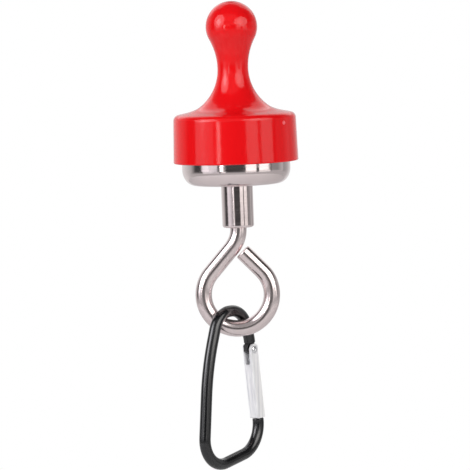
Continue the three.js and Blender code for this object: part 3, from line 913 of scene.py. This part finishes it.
def tongue_outline():
    """The flat that the gate turns on, round at its end, with the heel that the pusher bears on."""
    top = SHOULDER + FLAT_ROOT
    return np.concatenate([
        [(-TONGUE_END, top), (-TONGUE_END, SHOULDER)],
        [(-TONGUE_HEEL, SHOULDER - 2 * REST_GAP), (-TONGUE_HEEL, HEEL_END)],
        arc(0, 0, TONGUE_END, TONGUE_START, 360, steps=32),
        [(TONGUE_END, top)],
    ])


def round_hole(radius, half):
    """A cutting tool along Y for a round hole through the origin."""
    return prism("hole", arc(0, 0, radius, 0, 360, steps=40)[1:], half)


def make_frame(material):
    """The bent rod with its hinge tongue, its T-shaped nose and the rivet's hole."""
    inner = WEB + REST_GAP - GATE_HALF
    outer = GATE_HALF - REST_GAP / 2
    head_base = GATE_NOSE + NECK_HEIGHT
    rod = tube("bent_frame", frame_path(), ROD, ROD_EDGE, sides=48)
    tongue = moved(prism("tongue", tongue_outline(), TONGUE), leaned)
    neck_outline = box_outline(inner, NOSE_SHOULDER - FLAT_ROOT, outer, head_base + HEAD_HEIGHT)
    neck = moved(prism("neck", neck_outline, NECK_SIDE), leaned)
    head_outline = box_outline(inner, head_base, outer, head_base + HEAD_HEIGHT)
    head = moved(prism("head", head_outline, HEAD_SIDE), leaned)
    hole = moved(round_hole(RIVET_HOLE, ROD + OVERRUN), leaned)
    for tool in (tongue, neck, head):
        combined(rod, tool, "UNION")
    combined(rod, hole, "DIFFERENCE")
    cleaned(rod)
    finished(rod, "carabiner", ["carabiner_frame"], material, on_carabiner)


def gate_bar():
    """A bar with rounded edges, round at the hinge and blunt at the nose."""
    section = rounded([
        (GATE_HALF, GATE_SIDE, GATE_EDGE),
        (-GATE_HALF, GATE_SIDE, GATE_EDGE),
        (-GATE_HALF, -GATE_SIDE, GATE_EDGE),
        (GATE_HALF, -GATE_SIDE, GATE_EDGE),
    ], steps=10)
    bar = prism("gate_bar", section, GATE_LENGTH / 2)
    moved(bar, stood_up(0, GATE_HALF - GATE_LENGTH / 2))
    nose = rounded([
        (-GATE_HALF, 0),
        (-GATE_HALF, GATE_NOSE, GATE_EDGE),
        (GATE_HALF, GATE_NOSE, GATE_EDGE),
        (GATE_HALF, 0),
    ], closed=False)[1:-1]
    side = np.concatenate([arc(0, 0, GATE_HALF, 0, 180, steps=48), nose])
    return combined(bar, prism("side", side, GATE_SIDE + OVERRUN), "INTERSECT")


def gate_tools():
    """What is cut from the bar: the fork for the tongue, the throat and the catch for the nose, the bore
    for the spring, the rivet's hole and the seats of its heads."""
    outside = GATE_HALF + OVERRUN
    web = GATE_HALF - OUTER_WALL
    fork = np.array([
        (-outside, -SLOT_DEPTH),
        (web - OUTER_WALL, -SLOT_DEPTH),
        (web, OUTER_WALL - SLOT_DEPTH),
        (web, -FORK_DEPTH),
        (outside, -FORK_DEPTH),
        (outside, outside),
        (-outside, outside),
    ])
    yield prism("fork", fork, TONGUE + REST_GAP)
    inner = WEB - GATE_HALF
    head_base = GATE_NOSE + NECK_HEIGHT
    top = head_base + HEAD_HEIGHT + REST_GAP
    throat = box_outline(inner, GATE_NOSE - OVERRUN, outside, top)
    yield prism("throat", throat, NECK_SIDE + REST_GAP)
    catch = box_outline(inner, head_base - REST_GAP, outside, top)
    yield prism("catch", catch, HEAD_SIDE + REST_GAP)
    drill = round_hole(BORE, (BORE_DEPTH + OVERRUN) / 2)
    yield moved(drill, stood_up(-BORE_INSET, (OVERRUN - BORE_DEPTH) / 2 - SLOT_DEPTH))
    yield round_hole(RIVET_HOLE, GATE_SIDE + OVERRUN)
    for side in (-GATE_SIDE, GATE_SIDE):
        yield moved(round_hole(RIVET_SEAT, RIVET_SINK), lambda points: points + (0, side, 0))


def rivet_outline():
    """The rivet's section, from one end to the other: in each half a shaft, then a low domed head with a
    small dimple in its middle."""
    seat = GATE_SIDE + SEAT_GAP - RIVET_SINK
    dome = arc(0, 0, 1, 0, RIVET_DOME, steps=12) * (RIVET_HEAD, RIVET_RISE)
    dimple = np.array(RIVET_DIMPLE_SHARES) * (RIVET_DIMPLE, RIVET_RISE)
    upper = np.concatenate([[(RIVET_RADIUS, 0)], dome, dimple]) + (0, seat)
    return np.concatenate([upper[::-1] * (1, -1), upper])[::-1]


def make_gate(satin, steel):
    """The bar with its cuts, and the rivet that it turns on."""
    bar = gate_bar()
    for tool in gate_tools():
        combined(bar, tool, "DIFFERENCE")
    gate = bevelled(cleaned(bar), GATE_BREAK)
    finished(gate, "gate", ["carabiner_gate"], satin, on_gate)
    rivet = moved(lathe("gate_pin", rivet_outline(), closed=False, sides=64), about_y)
    finished(rivet, "gate", ["gate_rivet"], steel, on_gate)


def plunger_outline():
    """The pusher's section: a round tip, the body, the collar that the spring bears on, and the stem."""
    collar_base = COLLAR_TOP - COLLAR_HEIGHT
    stem_end = collar_base - STEM_LENGTH
    return np.concatenate([
        arc(0, PUSHER_TIP - PUSHER, PUSHER, 90, 0, steps=12),
        rounded([
            (PUSHER, COLLAR_TOP),
            (COLLAR, COLLAR_TOP, BROKEN_EDGE),
            (COLLAR, collar_base, BROKEN_EDGE),
            (STEM, collar_base),
            (STEM, stem_end, STEM_EDGE),
            (0, stem_end),
        ], closed=False, steps=4),
    ])


def on_bore(points):
    """From the bore's line to the part's frame."""
    return on_gate(points - (BORE_INSET, 0, 0))


def make_pusher(wire):
    """The plunger, and the spring between its collar and the end of the bore."""
    pusher = lathe("plunger", plunger_outline(), closed=False, sides=48)
    finished(pusher, "pusher", ["spring_pusher"], wire, on_bore)
    low = -SLOT_DEPTH - BORE_DEPTH + SEAT_GAP
    high = COLLAR_TOP - COLLAR_HEIGHT - SEAT_GAP
    wound = coil(low + SPRING_WIRE, high - SPRING_WIRE)
    spring = finished(wound, "gate", ["gate_spring"], wire, on_bore)
    low_end, high_end = on_bore(np.array([(0, 0, low), (0, 0, high)])) * MM
    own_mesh(spring)


def coil(bottom, top, steps=32, sides=12):
    """An open helix: at turn t the centre is (mean cos t, mean sin t), climbing evenly, and the ring
    round it is wire (cos a outward + sin a upward), upward being square to the helix."""
    turn = np.linspace(0, SPRING_TURNS * 2 * np.pi, SPRING_TURNS * steps + 1)[:, None]
    angle = np.linspace(0, 2 * np.pi, sides, endpoint=False)
    climb = math.atan2((top - bottom) / SPRING_TURNS, 2 * math.pi * SPRING_MEAN)
    size = np.full(turn.shape, SPRING_WIRE)
    size = np.concatenate([[[0]], size, [[0]]])
    turn = np.concatenate([turn[:1], turn, turn[-1:]])
    height = bottom + (top - bottom) * turn / turn[-1]
    outward = SPRING_MEAN + size * np.cos(angle)
    up = size * np.sin(angle)
    rings = np.stack([
        outward * np.cos(turn) + up * math.sin(climb) * np.sin(turn),
        outward * np.sin(turn) - up * math.sin(climb) * np.cos(turn),
        height + up * math.cos(climb),
    ], axis=-1)
    return grid("coil_spring", rings)


# Studio

def direction(azimuth, elevation):
    """Unit vector from the object: azimuth 0 towards the camera, positive to its right."""
    a, e = math.radians(azimuth), math.radians(elevation)
    return Vector((math.sin(a) * math.cos(e), -math.cos(a) * math.cos(e), math.sin(e)))


def softbox(name, azimuths, elevations, radiance, colour, shape):
    """An area light that fills the given range of directions, as bright as radiance."""
    middle = direction(sum(azimuths) / 2, sum(elevations) / 2)
    width = 2 * LAMP_DISTANCE * math.tan(math.radians(azimuths[1] - azimuths[0]) / 2)
    height = 2 * LAMP_DISTANCE * math.tan(math.radians(elevations[1] - elevations[0]) / 2)
    light = bpy.data.lights.new(name, "AREA")
    light.shape = shape
    light.size = width
    light.size_y = height
    area = width * height * (math.pi / 4 if shape == "ELLIPSE" else 1)
    light.energy = radiance * math.pi * area
    light.color = colour
    lamp = bpy.data.objects.new(name, light)
    lamp.location = middle * LAMP_DISTANCE + LAMP_CENTRE
    lamp.rotation_euler = middle.to_track_quat("Z", "Y").to_euler()
    lamp.visible_camera = False
    bpy.context.scene.collection.objects.link(lamp)


def make_lights():
    """Large boxes on both sides of the camera, each dimmer towards its foot, with little light between
    them. The upright metal walls mirror their feet."""
    for box in SOFTBOXES:
        softbox(*box)


def faded(tree, value, start, end, low, high):
    """Runs smoothly from low to high while the value goes from start to end."""
    node = tree.nodes.new("ShaderNodeMapRange")
    node.interpolation_type = "SMOOTHSTEP"
    for socket, amount in zip(("From Min", "From Max", "To Min", "To Max"), (start, end, low, high)):
        node.inputs[socket].default_value = amount
    tree.links.new(value, node.inputs["Value"])
    return node.outputs["Result"]


def joined(tree, operation, first, second):
    """One value from two by a math operation. The second may be a plain number."""
    node = tree.nodes.new("ShaderNodeMath")
    node.operation = operation
    tree.links.new(first, node.inputs[0])
    if isinstance(second, float):
        node.inputs[1].default_value = second
    else:
        tree.links.new(second, node.inputs[1])
    return node.outputs["Value"]


def seen_directly(tree, path):
    """1 for what the camera sees, straight or through glass, and 0 for light and mirror images."""
    return joined(tree, "MAXIMUM", path.outputs["Is Camera Ray"], path.outputs["Is Transmission Ray"])


def make_world():
    """A pale backdrop behind the object, dimmer at its top and to the right, in a dim studio that is
    paler below. Light and mirror images find these by direction, and the camera sees white."""
    world = bpy.data.worlds.new("studio")
    bpy.context.scene.world = world
    world.use_nodes = True
    tree = world.node_tree
    coordinates = tree.nodes.new("ShaderNodeTexCoord")
    looked = tree.nodes.new("ShaderNodeSeparateXYZ")
    tree.links.new(coordinates.outputs["Generated"], looked.inputs["Vector"])
    right, away, up = looked.outputs
    edge = faded(tree, away, 0.05, 0.45, low=0, high=0.5)
    middle = faded(tree, away, 0.3, 0.9, low=0, high=0.3)
    top = faded(tree, up, 0.3, 0.7, low=1, high=0.3)
    right_side = faded(tree, right, 0.2, 0.8, low=1, high=0.6)
    lit = joined(tree, "MULTIPLY", top, right_side)
    backdrop = joined(tree, "MULTIPLY", joined(tree, "ADD", edge, middle), lit)
    studio = faded(tree, up, -0.23, -0.07, low=0.5, high=0.05)
    reflected = joined(tree, "MAXIMUM", backdrop, studio)
    seen = seen_directly(tree, tree.nodes.new("ShaderNodeLightPath"))
    background = tree.nodes["Background"]
    background.inputs["Color"].default_value = (1, 1, 1, 1)
    tree.links.new(joined(tree, "MAXIMUM", reflected, seen), background.inputs["Strength"])


def pale_floor():
    """The floor's own white, as seen, rises towards the rim, so that only the shadow shows. In mirror
    images it is low and even."""
    white = (FLOOR_WHITE, FLOOR_WHITE, FLOOR_WHITE)
    material = new_material("pale_floor", white, 0.8, 0, Emission_Color=(1, 1, 1, 1))
    tree = material.node_tree
    coordinates = tree.nodes.new("ShaderNodeTexCoord")
    length = tree.nodes.new("ShaderNodeVectorMath")
    length.operation = "LENGTH"
    tree.links.new(coordinates.outputs["Object"], length.inputs[0])
    rising = faded(tree, length.outputs["Value"], FLOOR_EVEN, FLOOR_RADIUS, low=FLOOR_GLOW, high=1)
    path = tree.nodes.new("ShaderNodeLightPath")
    glow = joined(tree, "MULTIPLY", rising, seen_directly(tree, path))
    mirrored = joined(tree, "MULTIPLY", path.outputs["Is Glossy Ray"], FLOOR_MIRRORED)
    strength = tree.nodes["Principled BSDF"].inputs["Emission Strength"]
    tree.links.new(joined(tree, "MAXIMUM", glow, mirrored), strength)
    return material


def make_floor(rings=24, sides=96):
    """A round floor: ring r of even steps goes round at (r cos t, r sin t), all at one height."""
    reach = np.linspace(0, FLOOR_RADIUS, rings)[:, None]
    turn = np.linspace(0, 2 * np.pi, sides, endpoint=False)
    level = np.full((rings, sides), FLOOR_HEIGHT)
    floor = grid("floor", np.stack([reach * np.cos(turn), reach * np.sin(turn), level], axis=-1))
    floor.data.materials.append(pale_floor())


def make_camera():
    """A long lens a little above the object's middle, turned so that the object leans as photographed."""
    elevation, roll = math.radians(CAMERA_ELEVATION), math.radians(CAMERA_ROLL)
    forward = Vector((0, math.cos(elevation), -math.sin(elevation)))
    level = Vector((1, 0, 0))
    upright = level.cross(forward)
    up = upright * math.cos(roll) + level * math.sin(roll)
    right = forward.cross(up)
    camera = bpy.data.cameras.new("camera")
    camera.sensor_width = CAMERA_SENSOR
    camera.lens = CAMERA_SENSOR * CAMERA_DISTANCE / VIEW_HEIGHT
    camera.clip_end = 20 * CAMERA_DISTANCE
    holder = bpy.data.objects.new("camera", camera)
    turn = Matrix((right, up, -forward)).transposed()
    holder.matrix_world = Matrix.Translation(CAMERA_TARGET - forward * CAMERA_DISTANCE) @ turn.to_4x4()
    bpy.context.scene.collection.objects.link(holder)
    bpy.context.scene.camera = holder


make_camera()
make_world()
make_lights()
make_floor()

nickel_turned = nickel_plating("nickel_turned", (160, 160, 2600))
magnet_finish = magnet_plating()
red = red_moulding()
make_pot(nickel_turned, magnet_finish, cast_resin())
make_eye(nickel_plating("nickel_wire", 300, brightest=0.15, dullest=0.22))
# The shell's second material, pale on the pip, is a painted highlight.
make_shell(red, pip_painted_highlight())
make_ribs(red)
make_grip_magnet(nickel_turned, magnet_finish)
make_frame(black_anodising())
make_gate(satin_aluminium(), rivet_steel())
make_pusher(spring_wire())

bpy.context.scene.view_settings.view_transform = "Standard"
